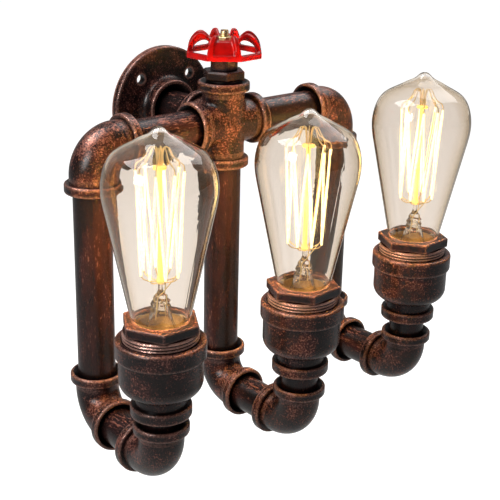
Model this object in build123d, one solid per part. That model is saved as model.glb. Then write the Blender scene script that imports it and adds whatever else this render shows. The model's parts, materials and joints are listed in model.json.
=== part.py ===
from build123d import *
import os
from math import cos, radians, sin, tau

# A wall lamp of iron pipe: a wall flange, a cross with a valve wheel on top, and three arms that each
# carry a bulb. Millimetres. The origin is the middle of the flange's back face, +Y goes into the wall.

# Half-inch iron pipe
PIPE_OD = 21.3
PIPE_BORE = 15.7
THREAD_PLAY = 0.1  # radial room left in a made-up thread

# Layout of the pipework
WALL_TO_CROSS = 61.0
ARM_SPACING = 92.0
SIDE_DROP = 157.0
MIDDLE_DROP = 166.0
ARM_REACH = 72.0
LEFT_SWING = -6.0  # degrees the left arm is turned outwards on its pipe
RISER_SHOW = 9.5  # pipe showing between the front elbow and the reducer
LEFT_RISER_SHOW = 5.0  # the left one is screwed in deeper

# Cast elbows and cross
ELBOW_REACH = 25.0  # centre to face
CROSS_REACH = 25.0
SOCKET_DEPTH = 9.0
FITTING_BODY_R = 12.3
BAND_R = 15.1
BAND_WIDTH = 5.5
BAND_ROUND = 1.2
MOUTH_R = 13.4  # wide end of the countersink in every mouth
WATERWAY_R = 9.0
CROSS_FILLET = 2.5

# Wall flange
FLANGE_R = 36.5
FLANGE_THICK = 5.0
FLANGE_EDGE_ROUND = 1.5
HUB_R = 17.0
HUB_HEIGHT = 14.0
HUB_FILLET = 4.5
HUB_LIP_ROUND = 0.8
HUB_MOUTH_R = 15.0
HUB_FLOOR = 3.0  # what the rear pipe stops on
SCREW_CIRCLE_R = 26.0
SCREW_HOLE_R = 3.0
SCREW_HOLES = 4

# Bell reducer under each bulb
REDUCER_HEIGHT = 43.0
SMALL_BAND_R = 16.3
SMALL_BAND_WIDTH = 6.5
NECK_R = 13.8
NECK_TOP = 12.2
BOWL_R = 22.2
BOWL_TOP = 20.2
BOWL_SWELL = 2.2  # how far the bowl bulges past a straight cone
BIG_BAND_R = 23.8
BIG_BAND_WIDTH = 10.0
BIG_BAND_ROUND = 1.6
RIM_BEVEL = 1.0  # inside the mouth of the bowl
TAIL_POCKET_DEPTH = 9.5

# Hexagon bushing
SPIGOT_R = 19.5
SPIGOT_SHOW = 5.0
HEX_FLATS = 37.0
HEX_HEIGHT = 5.5
HEX_ROUND = 0.7
HEX_TURN = 4.0
LIP_THICK = 2.0
LIP_HOLE_R = 14.0

# Porcelain lamp holder with its brass shell and contact
HOLDER_R = 16.0
HOLDER_PLAY = 0.25
HOLDER_FLOOR = 2.5
TAIL_R = 10.5
TAIL_LENGTH = 7.0
SHELL_WALL = 0.45
SHELL_BELOW_RIM = 1.0
CONTACT_R = 4.0
CONTACT_CROWN_R = 2.4
CONTACT_PLAY = 1.5
CONTACT_UP = 1.7  # crown of the contact above the holder's seat
CONTACT_SUNK = 1.5  # foot of the contact below the holder's seat

# Bulb: screw cap, insulator, tip
CAP_R = 13.2
CAP_WALL = 0.5
CAP_STRAIGHT = 19.0
CAP_LENGTH = 22.0
CAP_FOOT_R = 11.0
CAP_SUNK = 1.5  # rim of the cap below the top of the hexagon
CAP_PLAY = 0.35
INSULATOR_LENGTH = 2.5
TIP_R = 4.8
TIP_CROWN_R = 2.9
TIP_LENGTH = 2.0
TIP_LIFT = 0.3

# Bulb: glass, heights above the rim of the cap
GLASS_WALL = 1.0
NIPPLE_WALL = 1.6  # thicker where the glass was sealed
TIP_WALL = 2.0
GLASS_NECK_R = 12.6
NECK_DEPTH = 8.0
SHOULDER_R = 15.9
SHOULDER_UP = 4.5
FLANK_R = 27.2
FLANK_UP = 58.0
WIDEST_R = 29.0
WIDEST_UP = 73.0
CROWN_R = 24.5
CROWN_UP = 86.6
DOME_R = 12.0
DOME_UP = 94.6
NIPPLE_R = 4.6
NIPPLE_UP = 98.8
BULB_UP = 101.5

# Bulb: glass stem and wire cage
STEM_FOOT_R = 11.4
STEM_FOOT_THICK = 1.5
STEM_TUBE_R = 4.6
STEM_TUBE_TO = 14.0
STEM_PINCH_TO = 22.0
ROD_R = 1.5
BEAD_R = 3.5  # glass bead at the top of the rod
BEAD_FROM = 80.4
BEAD_TO = 82.2
BEAD_ROUND = 0.7
WIRE_R = 0.35
CAGE_HOOKS = 8
CAGE_TOP_R = 12.0
CAGE_FOOT_R = 10.0
CAGE_LOW = 26.0
CAGE_HIGH = 79.5
KNEE_R = 2.2  # where the upper wires turn outwards
KNEE_UP = 90.5
FOOT_WIRE_UP = 23.0  # where the lower wires leave the rod

# Valve on top of the cross, heights above the centre of the cross
BONNET_HEX_FLATS = 22.0
BONNET_HEX_FROM = 26.0
BONNET_HEX_TO = 31.5
BONNET_ROUND = 1.2
BONNET_NECK_R = 6.4
BONNET_NECK_TO = 35.0
GLAND_FLATS = 14.5
GLAND_TO = 38.5
GLAND_ROUND = 0.5
GLAND_ROOF = 2.0
STEM_R = 4.0
STEM_PLAY = 0.1
STEM_FROM = 18.0
STEM_COLLAR_R = 5.6
WHEEL_FROM = 39.5
SQUARE_WIDTH = 5.6
SQUARE_PLAY = 0.05
STUD_R = 2.2
STUD_TO = 54.0
NUT_FLATS = 7.5
NUT_HEIGHT = 3.5
NUT_ROUND = 0.4

# Hand wheel, heights above its own underside
WHEEL_REACH = 21.2
PETAL_HALF_WIDTH = 9.8
RIM_HEIGHT = 3.2
RIM_WIDTH = 3.6
PETAL_TOP_R = 14.2
PETAL_LEAN = 1.9  # how far the outer face has come in at the shoulder
RIB_TOP = 13.4
RIB_SHOULDER = 8.8
RIB_THICK = 3.0
WEB_HALF_WIDTH = 6.4  # the dished web between a petal's two ribs
WEB_TOP = 10.2
WEB_SHOULDER = 7.0
WEB_SUNK = 1.2
WEB_THICK = 1.8
WHEEL_HUB_R = 6.4
WHEEL_HUB_HEIGHT = 7.4
WHEEL_TURN = 50.0

# Lamp leads inside the pipes
LEAD_R = 2.5
CONNECTOR_SIZE = 10.0
CONNECTOR_ROUND = 1.0

# Sizes that follow from the ones above
PIPE_R = PIPE_OD / 2
SOCKET_R = PIPE_R + THREAD_PLAY
BEND_R = ELBOW_REACH - SOCKET_DEPTH
CROSS_STOP = CROSS_REACH - SOCKET_DEPTH
SHELL_BORE_R = CAP_R + CAP_PLAY
TIP_BOTTOM = CAP_LENGTH + INSULATOR_LENGTH + TIP_LENGTH  # below the rim of the cap

# Heights above the foot of the reducer
HEX_TOP = REDUCER_HEIGHT + SPIGOT_SHOW + HEX_HEIGHT
CAP_LEVEL = HEX_TOP - CAP_SUNK
HOLDER_SEAT = CAP_LEVEL - TIP_BOTTOM - TIP_LIFT - CONTACT_UP
HOLDER_HEIGHT = HEX_TOP - LIP_THICK - HOLDER_SEAT

BASE = (Align.CENTER, Align.CENTER, Align.MIN)
UP = Rot(0, 0, 0)
DOWN = Rot(180, 0, 0)
FORWARD = Rot(90, 0, 0)
BACK = Rot(-90, 0, 0)
LEFT = Rot(0, -90, 0)
RIGHT = Rot(0, 90, 0)

CROSS_CENTRE = Pos(0, -WALL_TO_CROSS, 0)


def spun(face):
    """A solid of revolution about Z from a face drawn with radius across and height up."""
    return revolve(Plane.XZ * face, Axis.Z)


def turned(outline, rounds=()):
    """A turned solid from (radius, height) corners, with (corner number, radius) roundings."""
    face = make_face(Polyline(*outline, close=True))
    for corner, radius in rounds:
        face = fillet(face.vertices().sort_by_distance(Vector(*outline[corner]))[0], radius)
    return spun(face)


def rod(radius, low, high):
    """A round bar along Z between two heights."""
    return Pos(0, 0, low) * Cylinder(radius, high - low, align=BASE)


def hexagon(flats, low, high, rounding):
    """A hexagonal bar along Z with a corner on +X and all its edges rounded."""
    bar = extrude(RegularPolygon(flats / 2, 6, major_radius=False), high - low)
    return Pos(0, 0, low) * fillet(bar.edges(), rounding)


def pipe(low, high):
    """A piece of pipe along Z between two heights."""
    return rod(PIPE_R, low, high) - rod(PIPE_BORE / 2, low, high)


def band(radius, low, high, rounding):
    """A raised band round a fitting, with rounded edges."""
    return turned([(0, low), (radius, low), (radius, high), (0, high)], [(1, rounding), (2, rounding)])


def port(start, reach):
    """The outside of a fitting's port along Z, with a band round its mouth."""
    return rod(FITTING_BODY_R, start, reach) + band(BAND_R, reach - BAND_WIDTH, reach, BAND_ROUND)


def socket_cut(face, direction=1):
    """The countersunk thread socket that a pipe screws into, cut from a mouth at the given height."""
    stop = face - direction * SOCKET_DEPTH
    cone = face - direction * (MOUTH_R - SOCKET_R)
    return turned([(0, stop), (SOCKET_R, stop), (SOCKET_R, cone), (MOUTH_R, face), (0, face)])


def bend(radius):
    """A quarter bend of round section from the upper port to the forward port."""
    axis = Axis((0, -BEND_R, BEND_R), (-1, 0, 0))
    return revolve(Pos(0, 0, BEND_R) * Circle(radius), axis, 90)


def elbow():
    """A quarter elbow with one port up and one forward."""
    sleeve = port(BEND_R, ELBOW_REACH)
    socket = socket_cut(ELBOW_REACH)
    body = bend(FITTING_BODY_R) + sleeve + FORWARD * sleeve
    return body - bend(WATERWAY_R) - socket - FORWARD * socket


def cross():
    """The five-way fitting: left, right, up, down and back to the wall."""
    trunk = rod(FITTING_BODY_R, 0, CROSS_STOP)
    sleeve = port(CROSS_STOP, CROSS_REACH)
    hole = rod(WATERWAY_R, 0, CROSS_STOP) + socket_cut(CROSS_REACH)
    sides = [UP, DOWN, LEFT, RIGHT, BACK]
    body = sum((side * trunk for side in sides), Part())
    round_or_straight = (GeomType.CIRCLE, GeomType.LINE)
    creases = [edge for edge in body.edges() if edge.geom_type not in round_or_straight]
    body = fillet(creases, CROSS_FILLET)
    for side in sides:
        body += side * sleeve
    for side in sides:
        body -= side * hole
    return body


def wall_flange():
    """The round wall plate with its hub, built with the wall at the bottom."""
    outline = [
        (0, 0),
        (FLANGE_R, 0),
        (FLANGE_R, FLANGE_THICK),
        (HUB_R, FLANGE_THICK),
        (HUB_R, HUB_HEIGHT),
        (0, HUB_HEIGHT),
    ]
    rounds = [(2, FLANGE_EDGE_ROUND), (3, HUB_FILLET), (4, HUB_LIP_ROUND)]
    mouth_low = HUB_HEIGHT - (HUB_MOUTH_R - SOCKET_R)
    socket = [
        (0, HUB_FLOOR),
        (SOCKET_R, HUB_FLOOR),
        (SOCKET_R, mouth_low),
        (HUB_MOUTH_R, HUB_HEIGHT),
        (0, HUB_HEIGHT),
    ]
    screw_holes = PolarLocations(SCREW_CIRCLE_R, SCREW_HOLES, start_angle=180 / SCREW_HOLES)
    holes = screw_holes * rod(SCREW_HOLE_R, 0, FLANGE_THICK)
    return turned(outline, rounds) - turned(socket) - rod(WATERWAY_R, 0, HUB_FLOOR) - holes


def reducer():
    """The bell-shaped reducer: a banded neck that opens into a banded bowl."""
    neck_corner = (NECK_R, NECK_TOP)
    bowl_corner = (BOWL_R, BOWL_TOP)
    bulge = Vector(BOWL_TOP - NECK_TOP, NECK_R - BOWL_R).normalized() * BOWL_SWELL
    middle = Vector((NECK_R + BOWL_R) / 2, (NECK_TOP + BOWL_TOP) / 2) + bulge
    side = ThreePointArc(neck_corner, middle, bowl_corner)
    inside = Polyline(bowl_corner, (0, BOWL_TOP), (0, NECK_TOP), neck_corner)
    body = spun(make_face(side.edges() + inside.edges()))
    body += rod(NECK_R, 0, NECK_TOP) + rod(BOWL_R, BOWL_TOP, REDUCER_HEIGHT)
    body += band(SMALL_BAND_R, 0, SMALL_BAND_WIDTH, BAND_ROUND)
    body += band(BIG_BAND_R, REDUCER_HEIGHT - BIG_BAND_WIDTH, REDUCER_HEIGHT, BIG_BAND_ROUND)
    chamber_r = SPIGOT_R + THREAD_PLAY
    chamber = [
        (0, HOLDER_SEAT),
        (chamber_r, HOLDER_SEAT),
        (chamber_r, REDUCER_HEIGHT - RIM_BEVEL),
        (chamber_r + RIM_BEVEL, REDUCER_HEIGHT),
        (0, REDUCER_HEIGHT),
    ]
    pocket = rod(TAIL_R + HOLDER_PLAY, HOLDER_SEAT - TAIL_POCKET_DEPTH, HOLDER_SEAT)
    waterway = rod(WATERWAY_R, SOCKET_DEPTH, HOLDER_SEAT)
    return body - socket_cut(0, -1) - waterway - pocket - turned(chamber)


def hex_bushing():
    """The bushing that closes the reducer, from the holder's seat up to its hexagon."""
    top = HEX_TOP - HOLDER_SEAT
    hex_low = top - HEX_HEIGHT
    head = Rot(0, 0, HEX_TURN) * hexagon(HEX_FLATS, hex_low, top, HEX_ROUND)
    holder_room = rod(HOLDER_R + HOLDER_PLAY, 0, HOLDER_HEIGHT)
    return head + rod(SPIGOT_R, 0, hex_low) - holder_room - rod(LIP_HOLE_R, 0, top)


def lamp_holder():
    """The porcelain holder: a cup with a tail that the lead comes up through."""
    body = rod(HOLDER_R, 0, HOLDER_HEIGHT) + rod(TAIL_R, -TAIL_LENGTH, 0)
    shell_room = rod(SHELL_BORE_R + SHELL_WALL + THREAD_PLAY, HOLDER_FLOOR, HOLDER_HEIGHT)
    contact_room = rod(CONTACT_R + CONTACT_PLAY, -CONTACT_SUNK, HOLDER_FLOOR)
    return body - shell_room - contact_room


def screw_shell():
    """The brass shell that the bulb's cap turns in."""
    top = HOLDER_HEIGHT - SHELL_BELOW_RIM
    return rod(SHELL_BORE_R + SHELL_WALL, HOLDER_FLOOR, top) - rod(SHELL_BORE_R, HOLDER_FLOOR, top)


def holder_contact():
    """The centre contact on the floor of the holder."""
    foot = -CONTACT_SUNK
    return turned([(0, foot), (CONTACT_R, foot), (CONTACT_CROWN_R, CONTACT_UP), (0, CONTACT_UP)])


def bulb_cap():
    """The thin brass screw cap, open at both ends."""
    outline = [
        (CAP_R, 0),
        (CAP_R, -CAP_STRAIGHT),
        (CAP_FOOT_R, -CAP_LENGTH),
        (CAP_FOOT_R - CAP_WALL, -CAP_LENGTH),
        (CAP_R - CAP_WALL, -CAP_STRAIGHT),
        (CAP_R - CAP_WALL, 0),
    ]
    return turned(outline)


def cap_insulator():
    """The glass disc between the cap and the tip."""
    foot = -CAP_LENGTH - INSULATOR_LENGTH
    return turned([(0, -CAP_LENGTH), (CAP_FOOT_R, -CAP_LENGTH), (TIP_R, foot), (0, foot)])


def bulb_tip():
    """The solder tip at the foot of the bulb."""
    top = TIP_LENGTH - TIP_BOTTOM
    return turned([(0, top), (TIP_R, top), (TIP_CROWN_R, -TIP_BOTTOM), (0, -TIP_BOTTOM)])


def glass_face(wall, nipple_wall, tip_wall):
    """Half the section of the bulb's glass, drawn in by the given thicknesses."""
    neck = (GLASS_NECK_R - wall, 0)
    shoulder = Vector(SHOULDER_R - wall, SHOULDER_UP)
    flank = Vector(FLANK_R - wall, FLANK_UP)
    widest = Vector(WIDEST_R - wall, WIDEST_UP)
    slant = wall * cos(radians(45))
    crown = Vector(CROWN_R - slant, CROWN_UP - slant)
    dome = Vector(DOME_R, DOME_UP - wall)
    nipple = Vector(NIPPLE_R, NIPPLE_UP - nipple_wall)
    tip = Vector(0, BULB_UP - tip_wall)
    slope = (flank - shoulder).normalized()
    dome_slope = Vector(NIPPLE_R - CROWN_R, NIPPLE_UP - CROWN_UP).normalized()
    curves = [
        Polyline((0, -NECK_DEPTH), (neck[0], -NECK_DEPTH), neck),
        Spline(neck, shoulder, tangents=[(0, 1), slope]),
        Line(shoulder, flank),
        Spline(flank, widest, crown, dome, tangents=[slope, dome_slope]),
        Spline(dome, nipple, tip, tangents=[dome_slope, (-1, 0)]),
        Line(tip, (0, -NECK_DEPTH)),
    ]
    return make_face([edge for curve in curves for edge in curve.edges()])


def bulb_glass():
    """The pear-shaped glass with its pointed tip, open at the neck."""
    return spun(glass_face(0, 0, 0)) - spun(glass_face(GLASS_WALL, NIPPLE_WALL, TIP_WALL))


def glass_stem():
    """The glass foot, tube and rod that carry the wire cage."""
    foot = -NECK_DEPTH
    outline = [
        (0, foot),
        (STEM_FOOT_R, foot),
        (STEM_FOOT_R, foot + STEM_FOOT_THICK),
        (STEM_TUBE_R, foot + STEM_TUBE_R),
        (STEM_TUBE_R, STEM_TUBE_TO),
        (ROD_R, STEM_PINCH_TO),
        (ROD_R, BEAD_FROM),
        (BEAD_R, BEAD_FROM),
        (BEAD_R, BEAD_TO),
        (0, BEAD_TO),
    ]
    return turned(outline, [(7, BEAD_ROUND), (8, BEAD_ROUND)])


def wire(start, end):
    """A straight piece of wire between two points."""
    direction = end - start
    return Plane(origin=start, z_dir=direction) * Cylinder(WIRE_R, direction.length, align=BASE)


def hooks(radius, height, shift):
    """Points for the hooks, evenly round the bulb's axis, shifted by a part of a step."""
    turns = [tau * (hook + shift) / CAGE_HOOKS for hook in range(CAGE_HOOKS)]
    return [Vector(radius * cos(turn), radius * sin(turn), height) for turn in turns]


def wire_cage():
    """The filament that runs up and down between hooks, with the wires that hold the hooks."""
    high = hooks(CAGE_TOP_R, CAGE_HIGH, 0)
    low = hooks(CAGE_FOOT_R, CAGE_LOW, 0.5)
    knees = hooks(KNEE_R, KNEE_UP, 0)
    runs = [*zip(high, low), *zip(low, high[1:])]
    runs += zip(hooks(ROD_R, BEAD_TO + WIRE_R, 0), knees)
    runs += zip(knees, high)
    runs += zip(hooks(ROD_R + WIRE_R, FOOT_WIRE_UP, 0.5), low)
    wires = [wire(start, end) for start, end in runs]
    return wires[0].fuse(*wires[1:])


def valve_bonnet():
    """The plug in the top of the cross that the valve's stem turns in."""
    body = hexagon(BONNET_HEX_FLATS, BONNET_HEX_FROM, BONNET_HEX_TO, BONNET_ROUND)
    body += rod(PIPE_R, CROSS_STOP, BONNET_HEX_FROM)
    body += rod(BONNET_NECK_R, BONNET_HEX_TO, BONNET_NECK_TO)
    return body - rod(STEM_R + STEM_PLAY, CROSS_STOP, BONNET_NECK_TO)


def gland_nut():
    """The nut over the bonnet's neck that keeps the stem's collar down."""
    body = hexagon(GLAND_FLATS, BONNET_HEX_TO, GLAND_TO, GLAND_ROUND)
    room = rod(BONNET_NECK_R + THREAD_PLAY, BONNET_HEX_TO, GLAND_TO - GLAND_ROOF)
    return body - room - rod(STEM_R + STEM_PLAY, BONNET_HEX_TO, GLAND_TO)


def valve_stem():
    """The stem: a collar under the gland, a square for the wheel and a stud for its nut."""
    collar_room = GLAND_TO - GLAND_ROOF - BONNET_NECK_TO
    collar = rod(STEM_COLLAR_R, BONNET_NECK_TO + STEM_PLAY, BONNET_NECK_TO + collar_room - STEM_PLAY)
    hub_top = WHEEL_FROM + WHEEL_HUB_HEIGHT
    square = Pos(0, 0, WHEEL_FROM) * Box(SQUARE_WIDTH, SQUARE_WIDTH, WHEEL_HUB_HEIGHT, align=BASE)
    turned_square = Rot(0, 0, WHEEL_TURN) * (square & rod(STEM_R, WHEEL_FROM, hub_top))
    return rod(STEM_R, STEM_FROM, WHEEL_FROM) + collar + turned_square + rod(STUD_R, hub_top, STUD_TO)


def wheel_nut():
    """The nut that holds the wheel on its stem."""
    hub_top = WHEEL_FROM + WHEEL_HUB_HEIGHT
    nut = hexagon(NUT_FLATS, hub_top, hub_top + NUT_HEIGHT, NUT_ROUND)
    return nut - rod(STUD_R + THREAD_PLAY / 2, hub_top, hub_top + NUT_HEIGHT)


def arch(top, shoulder, sunk, thick):
    """The side view of a petal's rib or web: a strip that rises from the rim and falls to the hub."""

    def line(depth):
        outer = WHEEL_REACH - sunk - depth
        return Spline(
            (outer, 0),
            (outer - PETAL_LEAN, shoulder),
            (PETAL_TOP_R, top - depth),
            (SQUARE_WIDTH, WHEEL_HUB_HEIGHT - depth),
            tangents=[(0, 1), (-1, -1)],
        )

    upper = line(0)
    lower = line(thick)
    curves = [upper, lower, Line(upper @ 0, lower @ 0), Line(upper @ 1, lower @ 1)]
    return make_face([edge for curve in curves for edge in curve.edges()])


def petal_wedge(half_width):
    """A tall wedge from the wheel's axis that is as wide as a petal at the wheel's reach."""
    reach = 2 * WHEEL_REACH
    wide = 2 * half_width
    return extrude(make_face(Polyline((0, 0), (reach, wide), (reach, -wide), close=True)), reach)


def petal():
    """One petal along +X: two arched ribs with a dished web between them."""
    rib = extrude(Plane.XZ * arch(RIB_TOP, RIB_SHOULDER, 0, RIB_THICK), WHEEL_REACH, both=True)
    web = extrude(Plane.XZ * arch(WEB_TOP, WEB_SHOULDER, WEB_SUNK, WEB_THICK), WHEEL_REACH, both=True)
    middle = petal_wedge(WEB_HALF_WIDTH)
    return (rib & petal_wedge(PETAL_HALF_WIDTH)) - middle + (web & middle)


def handwheel():
    """The cast wheel: an eight-sided rim, four arched petals and a hub with a square hole."""
    corner = Vector(WHEEL_REACH, PETAL_HALF_WIDTH)
    corners = []
    for quarter in range(4):
        corners.append(Vector(corner.X, -corner.Y).rotate(Axis.Z, 90 * quarter))
        corners.append(corner.rotate(Axis.Z, 90 * quarter))
    outline = make_face(Polyline(*corners, close=True))
    rim = extrude(outline - offset(outline, -RIM_WIDTH, kind=Kind.INTERSECTION), RIM_HEIGHT)
    wheel = rim + rod(WHEEL_HUB_R, 0, WHEEL_HUB_HEIGHT)
    for quarter in range(4):
        wheel += Rot(0, 0, 90 * quarter) * petal()
    hole = SQUARE_WIDTH + 2 * SQUARE_PLAY
    wheel -= Box(hole, hole, WHEEL_HUB_HEIGHT, align=BASE)
    return Pos(0, 0, WHEEL_FROM) * Rot(0, 0, WHEEL_TURN) * wheel


def lead(route):
    """A lamp lead inside the pipes along a route of straight runs and the fittings' bends."""
    path = FilletPolyline(*route, radius=BEND_R)
    section = Plane(origin=path @ 0, z_dir=path % 0) * Circle(LEAD_R)
    return sweep(section, path)


def arm(pipe_top, drop, swing, riser_show):
    """One arm under the centre of the fitting that it hangs from: its parts by name."""
    foot = Pos(0, 0, -drop) * Rot(0, 0, swing)
    front = foot * Pos(0, -ARM_REACH, 0)
    reducer_foot = ELBOW_REACH + riser_show
    stack = front * Pos(0, 0, reducer_foot)
    seat = stack * Pos(0, 0, HOLDER_SEAT)
    bulb = stack * Pos(0, 0, CAP_LEVEL)
    return {
        "drop_pipe": pipe(BEND_R - drop, pipe_top),
        "lower_elbow": foot * elbow(),
        "arm_pipe": foot * FORWARD * pipe(BEND_R, ARM_REACH - BEND_R),
        "front_elbow": front * Rot(0, 0, 180) * elbow(),
        "riser_pipe": front * pipe(BEND_R, reducer_foot + SOCKET_DEPTH),
        "reducer": stack * reducer(),
        "hex_bushing": seat * hex_bushing(),
        "lamp_holder": seat * lamp_holder(),
        "screw_shell": seat * screw_shell(),
        "holder_contact": seat * holder_contact(),
        "bulb_cap": bulb * bulb_cap(),
        "cap_insulator": bulb * cap_insulator(),
        "bulb_tip": bulb * bulb_tip(),
        "bulb_glass": bulb * bulb_glass(),
        "glass_stem": bulb * glass_stem(),
        "wire_cage": bulb * wire_cage(),
    }


def arm_lead(drop, swing, riser_show, start):
    """The lamp lead of one arm, from its points at the start to the tail of its lamp holder."""
    foot = Pos(0, 0, -drop) * Rot(0, 0, swing)
    front = foot * Pos(0, -ARM_REACH, 0)
    tail = front * Pos(0, 0, ELBOW_REACH + riser_show + HOLDER_SEAT - TAIL_LENGTH)
    return lead([tail.position, front.position, foot.position, *start])


def main():
    connector = fillet(Box(CONNECTOR_SIZE, CONNECTOR_SIZE, CONNECTOR_SIZE).edges(), CONNECTOR_ROUND)
    nodes = {
        "wall_flange": FORWARD * wall_flange(),
        "rear_pipe": FORWARD * pipe(HUB_FLOOR, WALL_TO_CROSS - CROSS_STOP),
        "cross": CROSS_CENTRE * cross(),
        "lead_connector": CROSS_CENTRE * connector,
        "valve_bonnet": CROSS_CENTRE * valve_bonnet(),
        "gland_nut": CROSS_CENTRE * gland_nut(),
        "valve_stem": CROSS_CENTRE * valve_stem(),
        "handwheel": CROSS_CENTRE * handwheel(),
        "wheel_nut": CROSS_CENTRE * wheel_nut(),
    }
    for side, along, turn in (("left", LEFT, 90), ("right", RIGHT, -90)):
        run = CROSS_CENTRE * along
        corner = Pos((run * Pos(0, 0, ARM_SPACING)).position)
        nodes[f"{side}_top_pipe"] = run * pipe(CROSS_STOP, ARM_SPACING - BEND_R)
        nodes[f"{side}_top_elbow"] = corner * Rot(0, 0, turn) * Rot(0, 180, 0) * elbow()

    connector_face = CONNECTOR_SIZE / 2
    inward = ARM_SPACING - connector_face
    from_left = [(0, 0, 0), (inward, 0, 0)]
    from_right = [(0, 0, 0), (-inward, 0, 0)]
    arms = {
        "left": (-ARM_SPACING, -BEND_R, SIDE_DROP, LEFT_SWING, LEFT_RISER_SHOW, from_left),
        "middle": (0, -CROSS_STOP, MIDDLE_DROP, 0, RISER_SHOW, [(0, 0, -connector_face)]),
        "right": (ARM_SPACING, -BEND_R, SIDE_DROP, 0, RISER_SHOW, from_right),
    }
    contacts = []
    leads = []
    for side, (across, pipe_top, drop, swing, riser_show, lead_start) in arms.items():
        place = CROSS_CENTRE * Pos(across, 0, 0)
        parts = arm(pipe_top, drop, swing, riser_show)
        contacts.append(place * parts.pop("holder_contact"))
        leads.append(place * arm_lead(drop, swing, riser_show, lead_start))
        for name, shape in parts.items():
            nodes[f"{side}_{name}"] = place * shape
    nodes["holder_contacts"] = Compound(children=contacts)
    nodes["lamp_leads"] = Compound(children=leads)

    os.makedirs("parts", exist_ok=True)
    for name, shape in nodes.items():
        export_step(shape, f"parts/{name}.step")


main()
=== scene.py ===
import json
import math

import bmesh
import bpy
from mathutils import Matrix, Vector


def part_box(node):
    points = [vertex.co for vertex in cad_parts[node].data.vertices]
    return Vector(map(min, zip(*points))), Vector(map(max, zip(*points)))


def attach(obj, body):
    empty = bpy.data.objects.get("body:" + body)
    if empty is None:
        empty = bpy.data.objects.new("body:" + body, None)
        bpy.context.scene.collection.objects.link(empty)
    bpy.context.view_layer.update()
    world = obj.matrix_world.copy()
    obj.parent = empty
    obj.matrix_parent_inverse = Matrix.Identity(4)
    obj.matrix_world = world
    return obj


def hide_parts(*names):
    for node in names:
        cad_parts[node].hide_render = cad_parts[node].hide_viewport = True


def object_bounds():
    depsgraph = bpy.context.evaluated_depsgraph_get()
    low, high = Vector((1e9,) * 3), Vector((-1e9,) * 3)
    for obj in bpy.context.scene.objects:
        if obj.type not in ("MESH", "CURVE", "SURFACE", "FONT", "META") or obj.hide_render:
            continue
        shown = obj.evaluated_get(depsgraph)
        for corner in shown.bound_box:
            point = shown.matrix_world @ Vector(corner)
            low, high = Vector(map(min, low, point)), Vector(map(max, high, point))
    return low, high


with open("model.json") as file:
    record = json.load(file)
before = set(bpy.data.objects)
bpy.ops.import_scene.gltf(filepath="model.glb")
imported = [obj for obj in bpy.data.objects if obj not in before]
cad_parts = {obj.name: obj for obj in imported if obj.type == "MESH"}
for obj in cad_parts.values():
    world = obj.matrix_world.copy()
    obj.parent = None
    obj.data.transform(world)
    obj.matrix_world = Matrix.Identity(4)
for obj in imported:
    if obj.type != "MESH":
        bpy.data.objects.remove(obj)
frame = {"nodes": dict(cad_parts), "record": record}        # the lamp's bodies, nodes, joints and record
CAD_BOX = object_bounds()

# A wall lamp of iron pipe with three bulbs and a red valve wheel, in metres and in the frame of the
# solids. Tables of points are (radius, height) in millimetres.
MM = 0.001
SIDES = ("left", "middle", "right")
SAME_POINT = 1e-6  # points closer than this are merged

# Camera, at the photograph's viewing angle
EYE = Vector((-0.4117, -0.5539, 0.1553))
YAW = math.radians(-41.41)
PITCH = math.radians(-20.04)
ROLL = math.radians(1.28)
FOCAL_PIXELS = 1122.2
IMAGE_PIXELS = 500
SENSOR = 36.0

# Studio
FLOOR_DROP = 0.30  # floor below the lamp's lowest point
FLOOR_SIZE = 12.0
FLOOR_WHITE = 0.35
FLOOR_LIFT = 0.98  # light added to the floor where it is seen, not where it lights the lamp
FLOOR_IN_GLOSS = 0.2  # share of that light that shows in metal and in glass
ROOM_BEHIND = 0.25  # brightness of the room behind the lamp
ROOM_IN_FRONT = 0.06  # and in front of it
ROOM_RISE = 0.25  # how far up the bright side of the room lies
SOFT_LAMPS = (  # name, place, edge, power, seen in glossy surfaces
    ("key_lamp", (-0.45, 0.30, 1.10), 0.8, 18, True),
    ("right_lamp", (0.75, 0.05, 0.95), 0.9, 8, True),
    ("left_lamp", (-1.05, -0.30, 0.45), 0.4, 9, True),
    ("fill_lamp", (0.9, -1.0, 0.2), 0.7, 2, False),
)

# Finish of the iron
BLACK_PAINT = (0.008, 0.005, 0.005, 1)
BROWN_PAINT = (0.030, 0.009, 0.008, 1)
COPPER_RUB = (0.66, 0.255, 0.18, 1)
COPPER_EDGE = (0.95, 0.58, 0.48, 1)
PATCHES = 90  # brown patches to the metre
SPECKS = 950  # copper specks to the metre
LUMPS = 260  # lumps of the casting to the metre
RUB_STARTS = 0.59  # level of the specks where copper starts
RUB_FULL = 0.83  # and where it covers the paint
RUBBED_ON_BROWN = 0.10  # more copper on the brown patches
PAINTED_LIGHT_FROM_ABOVE = 0.09  # more copper where the surface faces up: painted light from above
EDGE_REACH = 1.6 * MM
# reach of the painted shade that darkens crevices and keeps copper out of them
CREVICE_SHADE_REACH = 12.0 * MM
PIPE_STRETCH = 0.25  # the specks are four times as long along a pipe
DULL_GLOSS = 0.30  # paint shines less than a clean surface

# Red enamel, darker in its crevices as painted shade, and where it is thin and where it is thick
SHADED_RED = (0.10, 0.001, 0.001, 1)
THIN_RED = (0.24, 0.002, 0.002, 1)
THICK_RED = (0.35, 0.003, 0.002, 1)
ENAMEL_SHADE_REACH = 3.0 * MM
ENAMEL_RUNS = 130  # thick runs to the metre
ENAMEL_DUST = 900  # dull spots to the metre

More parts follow.
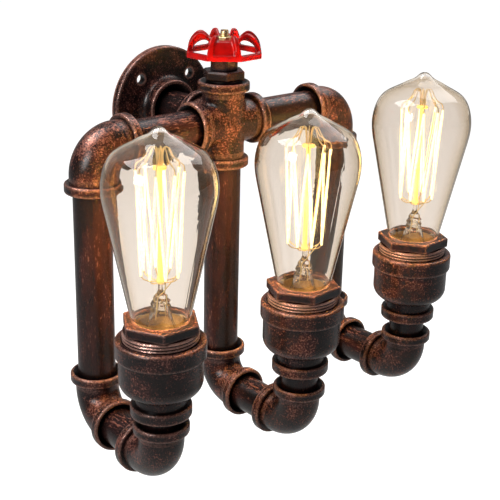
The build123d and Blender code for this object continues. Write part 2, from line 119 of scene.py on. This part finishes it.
# Plain finishes, each in its two tones
PALE_BRASS = ((0.75, 0.58, 0.32, 1), (0.45, 0.33, 0.17, 1))
CAP_BRASS = ((0.74, 0.46, 0.15, 1), (0.48, 0.27, 0.08, 1))
SOLDER = ((0.55, 0.54, 0.52, 1), (0.35, 0.34, 0.33, 1))
LEAD_SLEEVE = ((0.03, 0.03, 0.03, 1), (0.05, 0.05, 0.05, 1))
NYLON = ((0.70, 0.68, 0.62, 1), (0.60, 0.58, 0.52, 1))
PORCELAIN = ((0.80, 0.78, 0.72, 1), (0.70, 0.67, 0.60, 1))
BLACK_GLASS = ((0.010, 0.010, 0.012, 1), (0.02, 0.02, 0.02, 1))
# the rod's yellow tones are painted light from the filament
ROD_GLASS = ((0.95, 0.60, 0.16, 1), (1.0, 0.78, 0.34, 1))
HOOK_BRASS = ((0.75, 0.58, 0.32, 1), (0.55, 0.38, 0.18, 1))

# Marks in the plain finishes, in numbers to the metre
TARNISH = 400
SCRATCHES = 2400
CLOUDS = 180  # of the two tones in a moulded piece
PORES = 1500
STREAKS = 900  # in the rod's glass
DIM_GLOW_SPOTS = 120  # spots of dimmer painted glow along the hook wires
COIL_TURNS = 700  # of the filament's fine coil
UPRIGHT = (1, 1, 0.1)  # stretch of marks that run up and down

# Clear glass, seen through its wall and along it, with a painted glow along its wall
BULB_GLASS = ((0.865, 0.81, 0.755, 1), (0.64, 0.43, 0.16, 1))
STEM_GLASS = ((0.97, 0.93, 0.86, 1), (0.78, 0.62, 0.42, 1))
GLASS_IOR = 1.45
GLASS_GLOW = (1.0, 0.62, 0.26, 1)
EDGE_GLOW = 10  # times as much glow at the very edge

# Glow of the filaments, the painted glow of the rod and hook wires next to them, and the lamps in the
# bulbs
FILAMENT_WIRE = (0.25, 0.20, 0.16, 1)
FILAMENT_COLOUR = (1.0, 0.84, 0.36, 1)
FILAMENT_STRENGTH = 2.9
ROD_GLOW = (1.0, 0.70, 0.22, 1)
ROD_GLOW_STRENGTH = 0.45
HOOK_GLOW = (1.0, 0.72, 0.30, 1)
GLOW_COLOUR = (1.0, 0.68, 0.18)
GLOW_POWER = 1.2
GLOW_RADIUS = 10.0 * MM
GLOW_UP = 55.0 * MM

# Filament cage, heights above the rim of the bulb's cap
FILAMENT_R = 0.62 * MM
CAGE_HOOKS = 8
CAGE_TOP_R = 12.0 * MM
CAGE_FOOT_R = 10.0 * MM
CAGE_LOW = 26.0 * MM
CAGE_HIGH = 79.5 * MM
BEND_NEAR = 0.3 * MM  # where a strand starts to bend round its hook
BEND_FAR = 1.8 * MM

# Hook wires
WIRE_R = 0.30 * MM
UPPER_HOOK = (
    (1.3, 82.0), (1.5, 87.0), (2.4, 91.0), (4.0, 91.8), (5.4, 89.8),
    (6.6, 86.8), (8.4, 84.6), (10.8, 83.4), (12.2, 82.0), (12.0, 79.2),
)
LOWER_SPOKE = ((1.4, 22.4), (3.0, 22.3), (6.5, 23.0), (9.4, 24.6), (10.0, 26.4))
LEAD_FOOT = (3.2, 2.0)  # a lead wire's foot and where the pinch holds it
LEAD_PINCH = (2.24, 13.0)
LEAD_BENDS = (0.12, 0.5)  # shares of its way from the pinch to the cage

# Glass stem, its crimped pinch and the rod
STEM_FOOT = (
    (0, 12.0), (1.4, 10.5), (3.2, 6.5), (4.6, 3.0), (5.8, 0.0), (7.2, -3.8), (9.0, -6.2),
    (10.6, -8.0), (11.4, -8.0), (11.4, -7.0), (9.8, -5.2), (8.0, -2.8), (6.7, 0.6), (5.7, 4.0),
    (5.0, 7.5), (4.6, 11.0), (3.6, 14.0), (1.9, 16.0), (1.2, 18.0), (1.1, 21.6), (0, 21.9),
)
STEM_STEPS = 24
PINCH_LOW = 4.0 * MM
PINCH_HIGH = 16.0 * MM
PINCH_WIDER = 0.20
PINCH_FLATTER = 0.35
CRIMP_DEPTH = 0.20
CRIMPS = 4
GLASS_ROD = (
    (0, 21.0), (1.6, 21.2), (2.0, 22.2), (1.8, 23.6), (1.3, 25.0), (1.2, 40.0), (1.2, 60.0),
    (1.3, 79.8), (2.2, 80.4), (3.3, 80.6), (3.5, 81.2), (3.3, 81.8), (1.6, 82.2), (0, 82.3),
)

# Screw threads
THREAD_SKIN = 0.15 * MM
CAP_PITCH = 3.629 * MM
CAP_TURNS = 4
CAP_CREST_R = 13.2 * MM
CAP_ROOT_R = 12.2 * MM
CAP_WALL = 0.5 * MM
CAP_ROLL = ((-0.3, 0.0), (0.0, -0.4), (-0.1, -1.6))  # rolled rim, counted from the crest
CAP_ROLL_END = -2.6 * MM
CAP_TAPER = 3.4 * MM  # height of the tapered foot
CAP_FOOT_R = 11.0 * MM
CAP_FOOT_INNER_R = 10.5 * MM
SPIGOT_PITCH = 1.8 * MM
SPIGOT_TURNS = 3
SPIGOT_CREST_R = 20.0 * MM
SPIGOT_ROOT_R = 19.4 * MM
SPIGOT_LOW = -1.7 * MM
STUD_PITCH = 0.8 * MM
STUD_CREST_R = 2.5 * MM
STUD_ROOT_R = 2.2 * MM
STUD_LOW = -0.1 * MM
STUD_R = 2.25  # in millimetres, as its rounded end
STUD_END_R = 1.7
STUD_PLAIN_END = 1.2 * MM

# Cast skin of the wheel
SKIN_GRAIN = 0.40 * MM
PAINT_EASE = 0.5
PAINT_COATS = 8


# Node materials

def new_finish(name):
    """A new node material: the material, its tree and its surface shader."""
    material = bpy.data.materials.new(name)
    material.use_nodes = True
    tree = material.node_tree
    return material, tree, tree.nodes["Principled BSDF"]


def add(tree, kind, inputs=(), **settings):
    """A node with its settings, and inputs that are either values or other nodes' outputs."""
    node = tree.nodes.new(kind)
    for key, value in settings.items():
        setattr(node, key, value)
    plug(tree, node, inputs)
    return node


def plug(tree, node, inputs):
    """Sets a node's inputs to values or links them to other nodes' outputs."""
    for key, value in dict(inputs).items():
        if isinstance(value, bpy.types.NodeSocket):
            tree.links.new(value, node.inputs[key])
        else:
            node.inputs[key].default_value = value


def spread(tree, value, low, high, to_low=0.0, to_high=1.0):
    """A value stretched from one range to another and kept inside it."""
    inputs = {
        "Value": value,
        "From Min": low,
        "From Max": high,
        "To Min": to_low,
        "To Max": to_high,
    }
    return add(tree, "ShaderNodeMapRange", inputs, clamp=True).outputs["Result"]


def maths(tree, operation, first, second=0.0, clamp=False):
    """The sum, product or other joining of two values."""
    node = add(tree, "ShaderNodeMath", {0: first, 1: second}, operation=operation, use_clamp=clamp)
    return node.outputs[0]


def mixed(tree, share, first, second, blend="MIX"):
    """A colour between two others, or blended from them in another way."""
    inputs = {0: share, 6: first, 7: second}
    return add(tree, "ShaderNodeMix", inputs, data_type="RGBA", blend_type=blend).outputs[2]


def grain(tree, place, scale, detail=4.0, roughness=0.6):
    """A cloudy pattern with about that many clouds to the metre."""
    inputs = {"Vector": place, "Scale": scale, "Detail": detail, "Roughness": roughness}
    return add(tree, "ShaderNodeTexNoise", inputs).outputs["Fac"]


def object_place(tree, stretch=(1, 1, 1)):
    """Object coordinates, stretched along the axes."""
    source = add(tree, "ShaderNodeTexCoord").outputs["Object"]
    return add(tree, "ShaderNodeMapping", {"Vector": source, "Scale": stretch}).outputs["Vector"]


def openness(tree, reach, **settings):
    """How much of the space within a reach is open, from 0 to 1."""
    inputs = {"Distance": reach}
    return add(tree, "ShaderNodeAmbientOcclusion", inputs, samples=4, **settings).outputs["AO"]


def relief(tree, height, strength, depth):
    """The surface's direction with a fine relief in it."""
    inputs = {"Strength": strength, "Distance": depth, "Height": height}
    return add(tree, "ShaderNodeBump", inputs).outputs["Normal"]


def rubbed_iron(name, copper_share, lumps, wear=1.0, stretch=(1, 1, 1)):
    """Black and brown paint with copper rubbed over it, most on edges and least in crevices, with
    painted shade that darkens the crevices and painted light from above as more copper where the surface
    faces up.
    """
    material, tree, shader = new_finish(name)
    along = object_place(tree, stretch)
    patches = spread(tree, grain(tree, along, PATCHES, detail=5.0, roughness=0.65), 0.42, 0.66)
    speckle = grain(tree, along, SPECKS, detail=6.0, roughness=0.8)
    clouded = maths(tree, "ADD", speckle, maths(tree, "MULTIPLY", patches, RUBBED_ON_BROWN))
    normal = add(tree, "ShaderNodeTexCoord").outputs["Normal"]
    upward = add(tree, "ShaderNodeSeparateXYZ", {"Vector": normal}).outputs["Z"]
    # painted light from above: more copper where the surface faces up
    clouded = maths(tree, "ADD", clouded, spread(tree, upward, 0.1, 0.9, 0.0, PAINTED_LIGHT_FROM_ABOVE))
    rub = spread(tree, clouded, RUB_STARTS - copper_share, RUB_FULL - copper_share)
    edge = spread(tree, openness(tree, EDGE_REACH, inside=True, only_local=True), 0.90, 0.55)
    worn = maths(tree, "MULTIPLY", edge, spread(tree, speckle, 0.38, 0.56, 0.1 * wear, wear))
    # painted shade: crevices are darkened and lose their copper
    free_of_painted_shade = spread(tree, openness(tree, CREVICE_SHADE_REACH), 0.35, 0.88, 0.05, 1.0)
    copper = maths(tree, "MULTIPLY", maths(tree, "MAXIMUM", rub, worn), free_of_painted_shade, clamp=True)
    paint = mixed(tree, patches, BLACK_PAINT, BROWN_PAINT)
    colour = mixed(tree, copper, paint, mixed(tree, worn, COPPER_RUB, COPPER_EDGE))
    channels = {"Red": free_of_painted_shade, "Green": free_of_painted_shade, "Blue": free_of_painted_shade}
    shade = add(tree, "ShaderNodeCombineColor", channels).outputs[0]
    cast = maths(tree, "MULTIPLY", grain(tree, object_place(tree), LUMPS, detail=2.0), lumps)
    height = maths(tree, "ADD", speckle, cast)
    plug(tree, shader, {
        "Base Color": mixed(tree, 1.0, colour, shade, blend="MULTIPLY"),
        "Metallic": spread(tree, copper, 0.1, 0.8, 0.0, 0.8),
        "Roughness": spread(tree, speckle, 0.35, 0.65, 0.26, 0.16),
        "Normal": relief(tree, height, strength=0.45, depth=0.25 * MM),
        "Specular IOR Level": DULL_GLOSS,
    })
    return material


def drawn_pipe(axis):
    """Pipe whose copper is rubbed along its length."""
    stretch = [1.0, 1.0, 1.0]
    stretch["XYZ".index(axis)] = PIPE_STRETCH
    name = f"rubbed_pipe_{axis.lower()}"
    return rubbed_iron(name, copper_share=-0.06, lumps=0.5, stretch=stretch)


def red_enamel():
    """Gloss red enamel, a little thicker here and there, with painted shade in its crevices."""
    material, tree, shader = new_finish("red_enamel")
    place = object_place(tree)
    flow = grain(tree, place, ENAMEL_RUNS, detail=2.0)
    clean = mixed(tree, spread(tree, flow, 0.35, 0.65), THIN_RED, THICK_RED)
    # painted shade: the red darkens in its crevices
    free_of_painted_shade = spread(tree, openness(tree, ENAMEL_SHADE_REACH), 0.2, 0.7)
    dust = grain(tree, place, ENAMEL_DUST, detail=3.0)
    plug(tree, shader, {
        "Base Color": mixed(tree, free_of_painted_shade, SHADED_RED, clean),
        "Roughness": spread(tree, dust, 0.3, 0.7, 0.10, 0.18),
        "Normal": relief(tree, flow, strength=0.35, depth=0.5 * MM),
        "Specular IOR Level": DULL_GLOSS,
    })
    return material


def metal(name, tones, roughness):
    """A plain metal with faint tarnish and fine scratches."""
    material, tree, shader = new_finish(name)
    tarnish = spread(tree, grain(tree, object_place(tree), TARNISH), 0.35, 0.70)
    scratches = grain(tree, object_place(tree, UPRIGHT), SCRATCHES, detail=2.0)
    plug(tree, shader, {
        "Base Color": mixed(tree, tarnish, *tones),
        "Metallic": 1.0,
        "Roughness": spread(tree, tarnish, 0.0, 1.0, roughness, roughness + 0.2),
        "Normal": relief(tree, scratches, strength=0.15, depth=0.1 * MM),
    })
    return material


def moulded(name, tones, roughness):
    """A smooth non-metal such as porcelain, nylon or a sleeve."""
    material, tree, shader = new_finish(name)
    place = object_place(tree)
    cloud = spread(tree, grain(tree, place, CLOUDS, detail=3.0), 0.35, 0.65)
    pores = grain(tree, place, PORES, detail=2.0)
    plug(tree, shader, {
        "Base Color": mixed(tree, cloud, *tones),
        "Roughness": spread(tree, cloud, 0.0, 1.0, roughness, roughness + 0.12),
        "Normal": relief(tree, pores, strength=0.1, depth=0.1 * MM),
    })
    return material


def clear_glass(name, tones, glow):
    """Clear glass that is tinted where it is seen along its wall, with a painted glow there for its
    filament's light.
    """
    material, tree, shader = new_finish(name)
    facing = add(tree, "ShaderNodeLayerWeight", {"Blend": 0.35}).outputs["Facing"]
    plug(tree, shader, {
        "Base Color": mixed(tree, spread(tree, facing, 0.22, 0.92), *tones),
        "Roughness": 0.0,
        "IOR": GLASS_IOR,
        "Transmission Weight": 1.0,
        "Emission Color": GLASS_GLOW,
        "Emission Strength": spread(tree, facing, 0.70, 0.97, glow, EDGE_GLOW * glow),
    })
    return material


def lit_glass():
    """The rod's glass, coloured yellow and glowing as painted light from the filament."""
    material, tree, shader = new_finish("rod_painted_glow")
    streaks = grain(tree, object_place(tree, UPRIGHT), STREAKS, detail=2.0)
    plug(tree, shader, {
        "Base Color": mixed(tree, spread(tree, streaks, 0.35, 0.65), *ROD_GLASS),
        "Roughness": 0.12,
        "Transmission Weight": 0.35,
        "Emission Color": ROD_GLOW,
        "Emission Strength": ROD_GLOW_STRENGTH,
    })
    return material


def hook_wire_glow():
    """The brass hook wires, with a painted yellow glow for the filament's light."""
    material, tree, shader = new_finish("hook_wire_glow")
    dimmer_glow = grain(tree, object_place(tree), DIM_GLOW_SPOTS, detail=2.0)
    plug(tree, shader, {
        "Base Color": mixed(tree, spread(tree, dimmer_glow, 0.35, 0.65), *HOOK_BRASS),
        "Metallic": 1.0,
        "Roughness": 0.3,
        "Emission Color": HOOK_GLOW,
        "Emission Strength": spread(tree, dimmer_glow, 0.3, 0.7, 0.45, 0.25),
    })
    return material


def glowing_filament():
    """The filament's wire, a little brighter and duller along its length."""
    material, tree, shader = new_finish("glowing_filament")
    turns = grain(tree, object_place(tree), COIL_TURNS, detail=1.0)
    coil = spread(tree, turns, 0.3, 0.7, 0.8, 1.2)
    plug(tree, shader, {
        "Base Color": FILAMENT_WIRE,
        "Roughness": 0.5,
        "Emission Color": FILAMENT_COLOUR,
        "Emission Strength": maths(tree, "MULTIPLY", coil, FILAMENT_STRENGTH),
    })
    return material


# Finishes by material slot
FINISHES = {
    "cast_fitting": rubbed_iron("rubbed_cast_iron", copper_share=-0.01, lumps=0.8),
    "red_enamel": red_enamel(),
    "brass": metal("pale_brass", PALE_BRASS, roughness=0.25),
    "cap_brass": metal("cap_brass", CAP_BRASS, roughness=0.35),
    "solder": metal("solder", SOLDER, roughness=0.35),
    "lead_sleeve": moulded("lead_sleeve", LEAD_SLEEVE, roughness=0.45),
    "nylon": moulded("nylon", NYLON, roughness=0.4),
    "porcelain": moulded("porcelain", PORCELAIN, roughness=0.15),
    "black_glass": moulded("black_glass", BLACK_GLASS, roughness=0.08),
    "bulb_glass": clear_glass("bulb_glass", BULB_GLASS, glow=0.006),
    "stem_glass": clear_glass("stem_glass", STEM_GLASS, glow=0.010),
    "filament": glowing_filament(),
}
# Finishes that go by the end of a node's name: pipes, the valve's black iron, partly darkened as painted
# shade, and the hexagons
PIPES = {axis: drawn_pipe(axis) for axis in "XYZ"}
# black paint with little copper, darker still as painted shade from the wheel above
SHADED_VALVE_IRON = rubbed_iron("valve_black_iron_and_shade", copper_share=-0.10, lumps=1.2, wear=0.1)
HEXAGON_IRON = rubbed_iron("rubbed_hexagon_iron", copper_share=-0.07, lumps=0.8, wear=0.5)
NAMED_FINISHES = {
    "top_pipe": PIPES["X"],
    "rear_pipe": PIPES["Y"],
    "arm_pipe": PIPES["Y"],
    "drop_pipe": PIPES["Z"],
    "riser_pipe": PIPES["Z"],
    "valve_stem": PIPES["Z"],
    "valve_bonnet": SHADED_VALVE_IRON,
    "gland_nut": SHADED_VALVE_IRON,
    "hex_bushing": HEXAGON_IRON,
}
HOOK_WIRE_GLOW = hook_wire_glow()
LIT_ROD_FINISH = lit_glass()


def node_finish(name, slot):
    """A node's finish, by its name or else by its slot."""
    for ending, finish in NAMED_FINISHES.items():
        if name.endswith(ending):
            return finish
    return FINISHES[slot]


def dress_nodes():
    """Gives every node its finish."""
    slots = {part["node"]: part["material_slot"] for part in frame["record"]["subparts"]}
    for name, node in frame["nodes"].items():
        node.data.materials.clear()
        node.data.materials.append(node_finish(name, slots[name]))
        if "bulb_glass" in name:
            node.visible_shadow = False


# Pieces

def keep(bm, name, slot, body, replaced=None, finish=None):
    """Makes a smooth piece from a mesh in progress and puts it into the scene."""
    mesh = bpy.data.meshes.new(name)
    bm.to_mesh(mesh)
    bm.free()
    for face in mesh.polygons:
        face.use_smooth = True
    return settle(bpy.data.objects.new(name, mesh), slot, body, replaced, finish)


def settle(piece, slot, body, replaced=None, finish=None):
    """Puts a piece into the scene with its finish and its body, and hides the node that it stands for.
    """
    bpy.context.scene.collection.objects.link(piece)
    piece.data.materials.append(finish or FINISHES[slot])
    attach(piece, body)
    if replaced:
        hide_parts(replaced)
    return piece


def bulb_rim(side):
    """The middle of the rim of a bulb's cap."""
    low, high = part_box(f"{side}_bulb_cap")
    return Vector(((low.x + high.x) / 2, (low.y + high.y) / 2, high.z))


def outline(bm, centre, points):
    """Adds a line through (radius, height) points from a centre, and gives its points and edges."""
    verts = [bm.verts.new(centre + Vector((radius, 0, height))) for radius, height in points]
    return verts + [bm.edges.new(pair) for pair in zip(verts, verts[1:])]


def close_seams(bm):
    """Merges points that coincide, then turns the faces outwards."""
    bmesh.ops.remove_doubles(bm, verts=bm.verts, dist=SAME_POINT)
    bmesh.ops.recalc_face_normals(bm, faces=bm.faces)


def turn_form(bm, centre, points, steps=48):
    """Adds a form turned about an upright axis from (radius, height) points."""
    bmesh.ops.spin(
        bm,
        geom=outline(bm, centre, points),
        cent=centre,
        axis=(0, 0, 1),
        angle=math.tau,
        steps=steps,
        use_merge=True,
    )
    close_seams(bm)


def lathe(profile, centre, steps=48):
    """A turned form from a table of points that starts and ends on its axis."""
    bm = bmesh.new()
    turn_form(bm, centre, [(radius * MM, height * MM) for radius, height in profile], steps)
    return bm


def screw_skin(bm, centre, root, crest, pitch, low, turns, steps=40, waves=8):
    """Adds a rounded screw thread that climbs round an upright axis, as a thin closed shell."""
    earlier = set(bm.faces)
    points = []
    for step in range(waves + 1):
        wave = 0.5 - 0.5 * math.cos(math.tau * step / waves)
        points.append((root + (crest - root) * wave, low + pitch * step / waves))
    bmesh.ops.spin(
        bm,
        geom=outline(bm, centre, points),
        cent=centre,
        axis=(0, 0, 1),
        dvec=Vector((0, 0, pitch / steps)),
        angle=math.tau * turns,
        steps=steps * turns,
    )
    close_seams(bm)
    skin = [face for face in bm.faces if face not in earlier]
    bmesh.ops.solidify(bm, geom=skin, thickness=THREAD_SKIN)


def bent_wire(data, points, order=3):
    """Adds one wire near the given points to a curve, and straight between them at order 2."""
    spline = data.splines.new("NURBS")
    spline.points.add(len(points) - 1)
    for knot, point in zip(spline.points, points):
        knot.co = (*point, 1)
    spline.order_u = order
    spline.use_endpoint_u = True


def wire_curve(name, radius):
    """An empty curve of round wire."""
    data = bpy.data.curves.new(name, "CURVE")
    data.dimensions = "3D"
    data.bevel_depth = radius
    data.bevel_resolution = 3
    data.resolution_u = 6
    data.use_fill_caps = True
    return data


def round_axis(centre, radius, turn, height):
    """A point on a circle round a bulb's axis, at a turn counted in hooks."""
    angle = math.tau * turn / CAGE_HOOKS
    return centre + Vector((radius * math.cos(angle), radius * math.sin(angle), height))


def string_filament(side):
    """The filament that runs up and down between the hooks."""
    rim = bulb_rim(side)
    data = wire_curve(f"{side}_filament", FILAMENT_R)
    points = []
    for hook in range(CAGE_HOOKS):
        points.append(round_axis(rim, CAGE_TOP_R, hook, CAGE_HIGH))
        points.append(round_axis(rim, CAGE_FOOT_R, hook + 0.5, CAGE_LOW))
    eased = [points[0]]
    for before, bend, after in zip(points, points[1:], points[2:]):
        back, onward = (before - bend).normalized(), (after - bend).normalized()
        eased += [bend + back * BEND_FAR, bend + back * BEND_NEAR]
        eased += [bend + onward * BEND_NEAR, bend + onward * BEND_FAR]
    eased.append(points[-1])
    bent_wire(data, eased, order=2)
    piece = bpy.data.objects.new(f"{side}_filament", data)
    settle(piece, "filament", f"{side}_bulb", f"{side}_wire_cage")


def hang_hooks(side):
    """The wires that hold the filament: umbrella at the top, spokes at the foot, two lead wires."""
    rim = bulb_rim(side)
    data = wire_curve(f"{side}_hook_wires", WIRE_R)
    for hook in range(CAGE_HOOKS):
        for turn, shape in ((hook, UPPER_HOOK), (hook + 0.5, LOWER_SPOKE)):
            points = [round_axis(rim, radius * MM, turn, height * MM) for radius, height in shape]
            bent_wire(data, points)
    first = round_axis(rim, CAGE_TOP_R, 0, CAGE_HIGH)
    last = round_axis(rim, CAGE_FOOT_R, CAGE_HOOKS - 0.5, CAGE_LOW)
    for hand, end in ((1, first), (-1, last)):
        start, pinch = (
            rim + Vector((hand * across, 0, height)) * MM
            for across, height in (LEAD_FOOT, LEAD_PINCH)
        )
        bent_wire(data, [start, pinch, *(pinch.lerp(end, share) for share in LEAD_BENDS), end])
    piece = bpy.data.objects.new(f"{side}_hook_wires", data)
    settle(piece, "brass", f"{side}_bulb", finish=HOOK_WIRE_GLOW)


def crimp_pinch(bm, rim):
    """Presses the middle of a stem flat and twists crimps into it."""
    for vert in bm.verts:
        share = (vert.co.z - rim.z - PINCH_LOW) / (PINCH_HIGH - PINCH_LOW)
        if 0 < share < 1:
            press = math.sin(math.pi * share)
            round_stem = math.atan2(vert.co.y - rim.y, vert.co.x - rim.x)
            twist = math.sin(share * math.tau * CRIMPS + 2 * round_stem)
            crimp = 1 + CRIMP_DEPTH * press * twist
            vert.co.x = rim.x + (vert.co.x - rim.x) * (1 + PINCH_WIDER * press) * crimp
            vert.co.y = rim.y + (vert.co.y - rim.y) * (1 - PINCH_FLATTER * press) * crimp


def blow_stem(side):
    """The hollow glass foot with the pinch that seals the lead wires, and the rod with its bead."""
    rim = bulb_rim(side)
    bm = lathe(STEM_FOOT, rim, STEM_STEPS)
    bmesh.ops.subdivide_edges(bm, edges=bm.edges[:], cuts=2, use_grid_fill=True)
    crimp_pinch(bm, rim)
    stem = keep(bm, f"{side}_stem", "stem_glass", f"{side}_bulb", f"{side}_glass_stem")
    soften = stem.modifiers.new("drawn_glass", "SUBSURF")
    soften.levels = 1
    soften.render_levels = 1
    stem.visible_shadow = False
    bm = lathe(GLASS_ROD, rim)
    rod = keep(bm, f"{side}_rod", "stem_glass", f"{side}_bulb", finish=LIT_ROD_FINISH)
    rod.visible_shadow = False


def roll_cap(side):
    """The brass screw cap: a rolled rim, the thread and the tapered foot."""
    rim = bulb_rim(side)
    low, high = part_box(f"{side}_bulb_cap")
    foot = low.z - high.z
    thread_low = foot + CAP_TAPER
    bm = bmesh.new()
    start = thread_low - CAP_PITCH / 2
    screw_skin(bm, rim, CAP_ROOT_R, CAP_CREST_R, CAP_PITCH, start, CAP_TURNS)
    inner = CAP_ROOT_R - CAP_WALL
    wall = [
        (inner, 0),
        *((CAP_CREST_R + radius * MM, height * MM) for radius, height in CAP_ROLL),
        (CAP_ROOT_R, CAP_ROLL_END),
        (CAP_ROOT_R, thread_low),
        (CAP_FOOT_R, foot),
        (CAP_FOOT_INNER_R, foot),
        (inner, thread_low),
        (inner, 0),
    ]
    turn_form(bm, rim, wall)
    keep(bm, f"{side}_cap", "cap_brass", f"{side}_bulb", f"{side}_bulb_cap")


def cut_spigot_thread(side):
    """The thread that shows between the reducer and the hexagon."""
    reducer_low, reducer_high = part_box(f"{side}_reducer")
    middle = (reducer_low + reducer_high) / 2
    centre = Vector((middle.x, middle.y, reducer_high.z))
    bm = bmesh.new()
    radii = (SPIGOT_ROOT_R, SPIGOT_CREST_R)
    screw_skin(bm, centre, *radii, SPIGOT_PITCH, SPIGOT_LOW, SPIGOT_TURNS, steps=64, waves=6)
    keep(bm, f"{side}_spigot_thread", "cast_fitting", "fixture")


def turn_stud():
    """The brass stud over the wheel's nut, with its thread and a rounded end."""
    nut_low, nut_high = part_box("wheel_nut")
    stem_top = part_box("valve_stem")[1].z
    middle = (nut_low + nut_high) / 2
    centre = Vector((middle.x, middle.y, nut_high.z))
    tall = stem_top - nut_high.z
    top = tall / MM
    end = ((STUD_R, top - 0.5), (STUD_END_R, top + 0.05), (0, top + 0.15))
    profile = ((0, -0.2), (STUD_R, -0.2), *end)
    bm = lathe(profile, centre, 32)
    turns = int((tall - STUD_PLAIN_END) / STUD_PITCH)
    radii = (STUD_ROOT_R, STUD_CREST_R)
    screw_skin(bm, centre, *radii, STUD_PITCH, STUD_LOW, turns, steps=24, waves=6)
    keep(bm, "wheel_stud", "brass", "valve")


def cast_wheel():
    """The hand wheel with the rounded edges and the thick paint of a small casting."""
    bm = bmesh.new()
    bm.from_mesh(frame["nodes"]["handwheel"].data)
    bmesh.ops.remove_doubles(bm, verts=bm.verts, dist=SAME_POINT)
    piece = keep(bm, "red_wheel", "red_enamel", "valve", "handwheel")
    skin = piece.modifiers.new("cast_skin", "REMESH")
    skin.mode = "VOXEL"
    skin.voxel_size = SKIN_GRAIN
    skin.use_smooth_shade = True
    soften = piece.modifiers.new("thick_paint", "SMOOTH")
    soften.factor = PAINT_EASE
    soften.iterations = PAINT_COATS


# Light and surroundings

def light_bulb(side):
    """The warm light that a filament throws on what is round it."""
    data = bpy.data.lights.new(f"{side}_glow", "POINT")
    data.energy = GLOW_POWER
    data.color = GLOW_COLOUR
    data.shadow_soft_size = GLOW_RADIUS
    lamp = bpy.data.objects.new(f"{side}_glow", data)
    lamp.location = bulb_rim(side) + Vector((0, 0, GLOW_UP))
    lamp.visible_camera = False
    lamp.visible_transmission = False
    lamp.visible_glossy = False
    bpy.context.scene.collection.objects.link(lamp)


def softbox(name, place, size, power, glossy):
    """A square lamp that faces the middle of the wall lamp, seen or unseen in glossy surfaces."""
    data = bpy.data.lights.new(name, "AREA")
    data.size = size
    data.energy = power
    lamp = bpy.data.objects.new(name, data)
    lamp.location = place
    middle = (CAD_BOX[0] + CAD_BOX[1]) / 2
    lamp.rotation_euler = (middle - Vector(place)).to_track_quat("-Z", "Y").to_euler()
    lamp.visible_transmission = False
    lamp.visible_glossy = glossy
    bpy.context.scene.collection.objects.link(lamp)


def place_camera():
    """The photograph's camera."""
    data = bpy.data.cameras.new("camera")
    data.sensor_width = SENSOR
    data.lens = SENSOR * FOCAL_PIXELS / IMAGE_PIXELS
    camera = bpy.data.objects.new("camera", data)
    tilt = Matrix.Rotation(math.pi / 2 + PITCH, 4, "X") @ Matrix.Rotation(ROLL, 4, "Z")
    camera.matrix_world = Matrix.Translation(EYE) @ Matrix.Rotation(YAW, 4, "Z") @ tilt
    bpy.context.scene.collection.objects.link(camera)
    bpy.context.scene.camera = camera


def light_room():
    """A dim room, lighter behind the lamp, that is white to the camera, and its soft lamps."""
    world = bpy.data.worlds.new("room")
    bpy.context.scene.world = world
    world.use_nodes = True
    tree = world.node_tree
    away = Vector((-math.sin(YAW), math.cos(YAW), ROOM_RISE)).normalized()
    direction = add(tree, "ShaderNodeTexCoord").outputs["Generated"]
    dot = add(tree, "ShaderNodeVectorMath", {0: direction, 1: away}, operation="DOT_PRODUCT")
    behind = dot.outputs["Value"]
    level = spread(tree, behind, 0.20, 0.80, ROOM_IN_FRONT, ROOM_BEHIND)
    path = add(tree, "ShaderNodeLightPath").outputs
    through = maths(tree, "MULTIPLY", path["Is Transmission Ray"], spread(tree, behind, 0.4, 0.7))
    seen = maths(tree, "MAXIMUM", path["Is Camera Ray"], through)
    level = maths(tree, "MAXIMUM", level, seen)
    plug(tree, tree.nodes["Background"], {"Color": (1, 1, 1, 1), "Strength": level})
    for name, place, size, power, glossy in SOFT_LAMPS:
        softbox(name, place, size, power, glossy)


def lay_floor():
    """A pale floor under the lamp that keeps its shadow."""
    bm = bmesh.new()
    bmesh.ops.create_grid(bm, x_segments=1, y_segments=1, size=FLOOR_SIZE / 2)
    bmesh.ops.translate(bm, verts=bm.verts, vec=(0, 0, CAD_BOX[0].z - FLOOR_DROP))
    mesh = bpy.data.meshes.new("floor")
    bm.to_mesh(mesh)
    bm.free()
    floor = bpy.data.objects.new("floor", mesh)
    bpy.context.scene.collection.objects.link(floor)
    material, tree, shader = new_finish("pale_floor")
    path = add(tree, "ShaderNodeLightPath").outputs
    seen = maths(tree, "MAXIMUM", path["Is Camera Ray"], path["Is Glossy Ray"])
    seen = maths(tree, "MAXIMUM", seen, path["Is Transmission Ray"])
    in_gloss = spread(tree, path["Glossy Depth"], 0.0, 1.0, 1.0, FLOOR_IN_GLOSS)
    seen = maths(tree, "MULTIPLY", seen, in_gloss)
    plug(tree, shader, {
        "Base Color": (FLOOR_WHITE, FLOOR_WHITE, FLOOR_WHITE, 1),
        "Roughness": 0.9,
        "Specular IOR Level": 0.0,
        "Emission Color": (1, 1, 1, 1),
        "Emission Strength": maths(tree, "MULTIPLY", seen, FLOOR_LIFT),
    })
    mesh.materials.append(material)


bpy.context.scene.view_settings.view_transform = "Standard"
dress_nodes()
cast_wheel()
turn_stud()
for side in SIDES:
    string_filament(side)
    hang_hooks(side)
    blow_stem(side)
    roll_cap(side)
    cut_spigot_thread(side)
    light_bulb(side)
place_camera()
light_room()
lay_floor()
